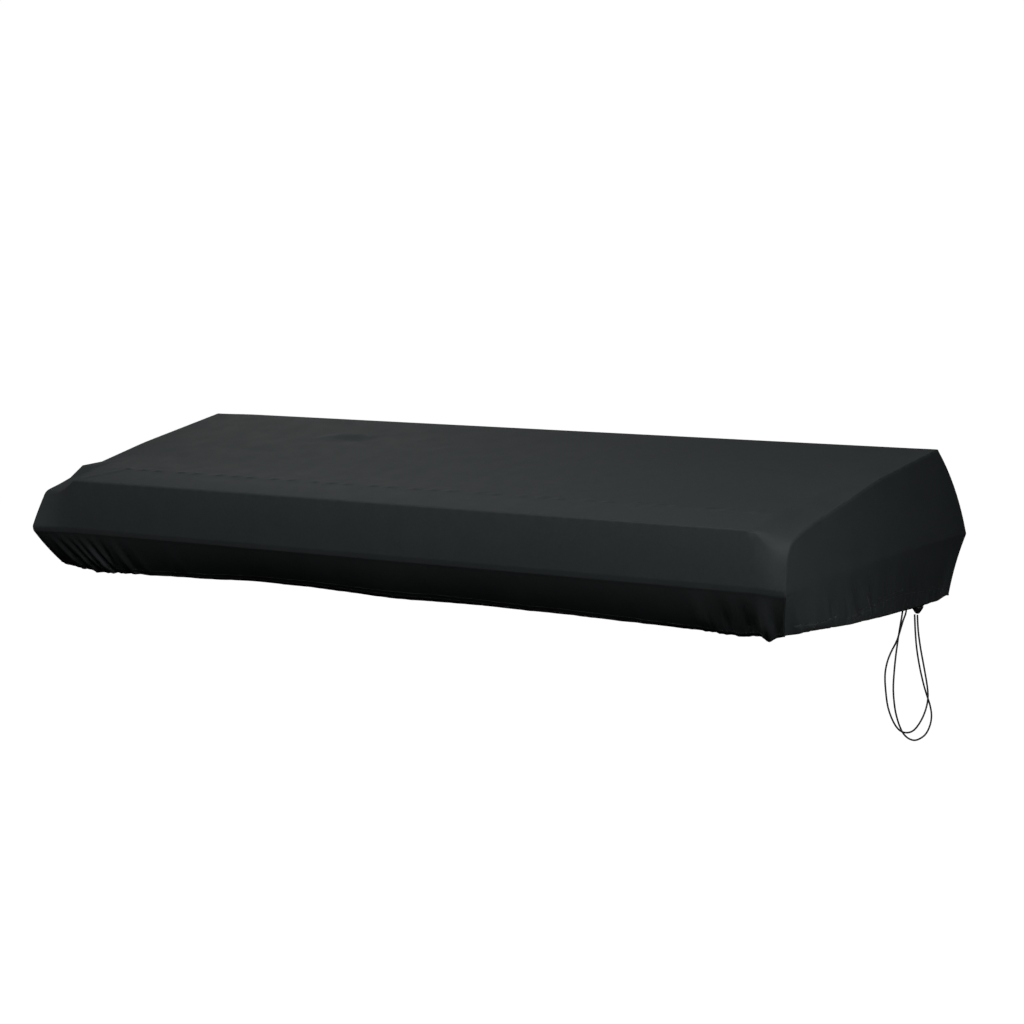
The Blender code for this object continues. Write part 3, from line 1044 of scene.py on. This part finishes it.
def cloth_finish():
    """Black jersey, with its knit as relief and slow patches in its colour."""
    finish = Finish("stretch_cloth", (0.022, 0.026, 0.027), 0.5)
    along = finish.node("ShaderNodeSeparateXYZ", inputs={0: finish.coordinates("UV")}, output="Y")
    across = finish.node("ShaderNodeSeparateXYZ", inputs={0: finish.coordinates("UV")}, output="X")
    leg = abs((across * (1 / KNIT_WIDTH)).fraction() - 0.5) * 2
    wave = ((along * (1 / KNIT_LENGTH) + leg * 0.5) * (2 * pi)).cosine()
    stitch = (wave * 0.5 + 0.5) * (1 - leg * leg)
    patches = finish.noise(0.03, detail=3.0)
    mottle = finish.noise(0.004, detail=3.0)
    grain = finish.noise(0.0016)
    uneven = patches * 0.35 + mottle * 0.4 + grain * 0.25
    finish.set("Base Color", finish.between(uneven, (0.0125, 0.0175, 0.0185), (0.029, 0.036, 0.0375)))
    finish.set("Roughness", 0.68 + patches * 0.16)
    finish.set("Normal", finish.bump(stitch * 0.5 + grain, 0.00005))
    return finish.material


stretch_cloth = cloth_finish()
for cloth, node in (
    (main_cloth, "main_panel"), (left_cloth, "end_panel_left"), (right_cloth, "end_panel_right"),
):
    cloth.data.materials.append(stretch_cloth)
    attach(cloth, "root")
    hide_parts(node)
print("cloth finish:", len(stretch_cloth.node_tree.nodes), "nodes")

# %% [markdown]
# The hem is sewn with a thin black thread. It is a little lighter than the cloth, so that its two
# rows show as faint dots.

# %% The thread's finish
def thread_finish():
    """The hem's thread, a little lighter than the cloth."""
    finish = Finish("hem_thread", (0.05, 0.055, 0.056), 0.5)
    twist = finish.noise(0.0006)
    finish.set("Base Color", finish.between(twist, (0.027, 0.032, 0.033), (0.052, 0.058, 0.06)))
    finish.set("Normal", finish.bump(twist, 0.00004))
    return finish.material


hem_thread = thread_finish()
for row in (main_stitches, left_stitches, right_stitches):
    row.data.materials.append(hem_thread)
    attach(row, "root")
print("thread finish:", len(hem_thread.node_tree.nodes), "nodes")

# %% [markdown]
# ## The cord lock
#
# At the hem the loops go into a small dark lump, the cord lock. It is a moulded barrel, so its
# profile is spun round its axis. Its edges are rounded, and it has the fine line that the two
# halves of a mould leave.

# %% The cord lock
Turn = namedtuple("Turn", "radius z")
LOCK_CENTRE = Vector((566, 137.4, -159))
LOCK_PROFILE = (
    Turn(0, 8.4), Turn(3.4, 8.4), Turn(4.4, 8.1), Turn(5.8, 7.1), Turn(6.9, 5.6), Turn(7.3, 3.4),
    Turn(7.3, 1.9), Turn(7.3, 1.1), Turn(7.0, 0.9), Turn(7.0, 0.3), Turn(7.2, 0.1), Turn(6.7, -1.4),
    Turn(5.4, -3.6), Turn(4.1, -5.6), Turn(2.8, -7.4), Turn(1.7, -8.2), Turn(0, -8.5),
)
LOCK_SIDES = 48


def cord_lock():
    """The barrel, spun from its profile."""
    bm = bmesh.new()
    verts = [bm.verts.new((LOCK_CENTRE + Vector((turn.radius, 0, turn.z))) * MM) for turn in LOCK_PROFILE]
    edges = [bm.edges.new(pair) for pair in zip(verts, verts[1:])]
    bmesh.ops.spin(
        bm, geom=verts + edges, cent=LOCK_CENTRE * MM, axis=(0, 0, 1), dvec=(0, 0, 0),
        angle=2 * pi, steps=LOCK_SIDES, use_merge=True,
    )
    bmesh.ops.remove_doubles(bm, verts=bm.verts, dist=WELD)
    bmesh.ops.recalc_face_normals(bm, faces=bm.faces)
    return new_piece("lock_body", bm)


def plastic_finish():
    """Black moulded plastic, satin and a little uneven."""
    finish = Finish("cord_lock", (0.012, 0.013, 0.014), 0.45)
    spark = finish.noise(0.0004)
    finish.set("Roughness", 0.38 + spark * 0.16)
    finish.set("Normal", finish.bump(spark, 0.00003))
    return finish.material


lock_body = cord_lock()
lock_body.data.materials.append(plastic_finish())
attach(lock_body, "root")
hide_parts("cord_lock")
print("cord lock:", triangles(lock_body), "triangles")

# %% [markdown]
#
# The cloths are cut flat and sewn. The main panel is a long piece whose width is the way round
# the section with its two hems. The end panels are D-shaped, so their flat area says more than
# the rectangle they are cut from.

# %% The sheets
def one_side_area(piece):
    """The area of a cloth's outer side, without its thickness."""
    return sum(polygon.area for polygon in piece.data.polygons)


for cloth in (main_cloth, left_cloth, right_cloth):
    print(cloth.name, "one side is", round(one_side_area(cloth), 4), "square metres")

# %% [markdown]
# ## Floor, backdrop and light
#
# The cover is held up by what it is pulled over, so the pale floor lies well below it and a white
# dome closes the view all round. Neither sends light back to the cloth, and two soft lights stand
# high above the front, so the band that turns under stays dark, as it does in the photograph. Two
# more behind the left end light the top, and a small one lights the right end. Weak ones soften
# the front and the left end, and a large low one shows the back.

# %% Floor and backdrop
FLOOR_Z = -1.3
DOME_RADIUS = 14.0
WORLD_STRENGTH = 0.004


def glow(name, level):
    """A plain pale surface that shows as even white."""
    material = bpy.data.materials.new(name)
    material.use_nodes = True
    shader = material.node_tree.nodes["Principled BSDF"]
    shader.inputs["Base Color"].default_value = (0.9, 0.9, 0.9, 1)
    shader.inputs["Roughness"].default_value = 1.0
    shader.inputs["Emission Color"].default_value = (1, 1, 1, 1)
    shader.inputs["Emission Strength"].default_value = level
    return material


def stage_piece(name, bm, material):
    """A piece of the surroundings, which is seen but neither lights nor shades the cover."""
    piece = new_piece(name, bm)
    piece.data.materials.append(material)
    piece.visible_diffuse = False
    piece.visible_glossy = False
    piece.visible_shadow = False
    return piece


bm = bmesh.new()
bmesh.ops.create_circle(bm, cap_ends=True, segments=64, radius=DOME_RADIUS)
bmesh.ops.translate(bm, verts=bm.verts, vec=(0, 0, FLOOR_Z))
stage_piece("floor", bm, glow("pale_floor", 1.0))

bm = bmesh.new()
bmesh.ops.create_icosphere(bm, subdivisions=5, radius=DOME_RADIUS)
bmesh.ops.reverse_faces(bm, faces=bm.faces)
stage_piece("backdrop", bm, glow("backdrop", 1.0))
print("floor at", FLOOR_Z, "m, dome of", DOME_RADIUS, "m")

# %% Lights
SoftBox = namedtuple("SoftBox", "name place aim size power")
SOFT_BOXES = (
    SoftBox("high_left", (-0.5, -1.42, 1.57), (-0.1, -0.1, 0), 0.45, 12.3),
    SoftBox("high_right", (0.7, -1.3, 1.36), (0.4, -0.1, 0), 0.4, 15.2),
    SoftBox("front", (0.2, -1.6, 1.0), (0.2, 0, 0), 0.6, 2.0),
    SoftBox("low_left", (-2.4, -0.6, 0.1), (-0.5, 0, -0.1), 0.6, 0.9),
    SoftBox("behind", (-1.3, 1.0, 1.4), (-0.1, 0, 0), 0.8, 2.4),
    SoftBox("low_behind", (-1.6, 1.3, 0.9), (-0.2, 0, 0), 0.5, 1.9),
    SoftBox("right_end", (1.1, -0.3, 0.0), (0.6, -0.15, -0.1), 0.25, 1.55),
    SoftBox("low_back", (0.0, 2.4, -0.3), (0, 0.2, -0.1), 1.0, 22.0),
)


def soft_box(box):
    """A square soft light that points at its aim and is not seen itself."""
    light = bpy.data.lights.new(box.name, "AREA")
    light.shape = "SQUARE"
    light.size = box.size
    light.energy = box.power
    lamp = bpy.data.objects.new(box.name, light)
    lamp.location = box.place
    lamp.visible_camera = False
    lamp.rotation_euler = (Vector(box.aim) - Vector(box.place)).to_track_quat("-Z", "Y").to_euler()
    bpy.context.scene.collection.objects.link(lamp)


for box in SOFT_BOXES:
    soft_box(box)
world = bpy.data.worlds.new("studio")
bpy.context.scene.world = world
world.use_nodes = True
world.node_tree.nodes["Background"].inputs["Color"].default_value = (1, 1, 1, 1)
world.node_tree.nodes["Background"].inputs["Strength"].default_value = WORLD_STRENGTH
bpy.context.scene.view_settings.view_transform = "Standard"
print(len(SOFT_BOXES), "soft lights")
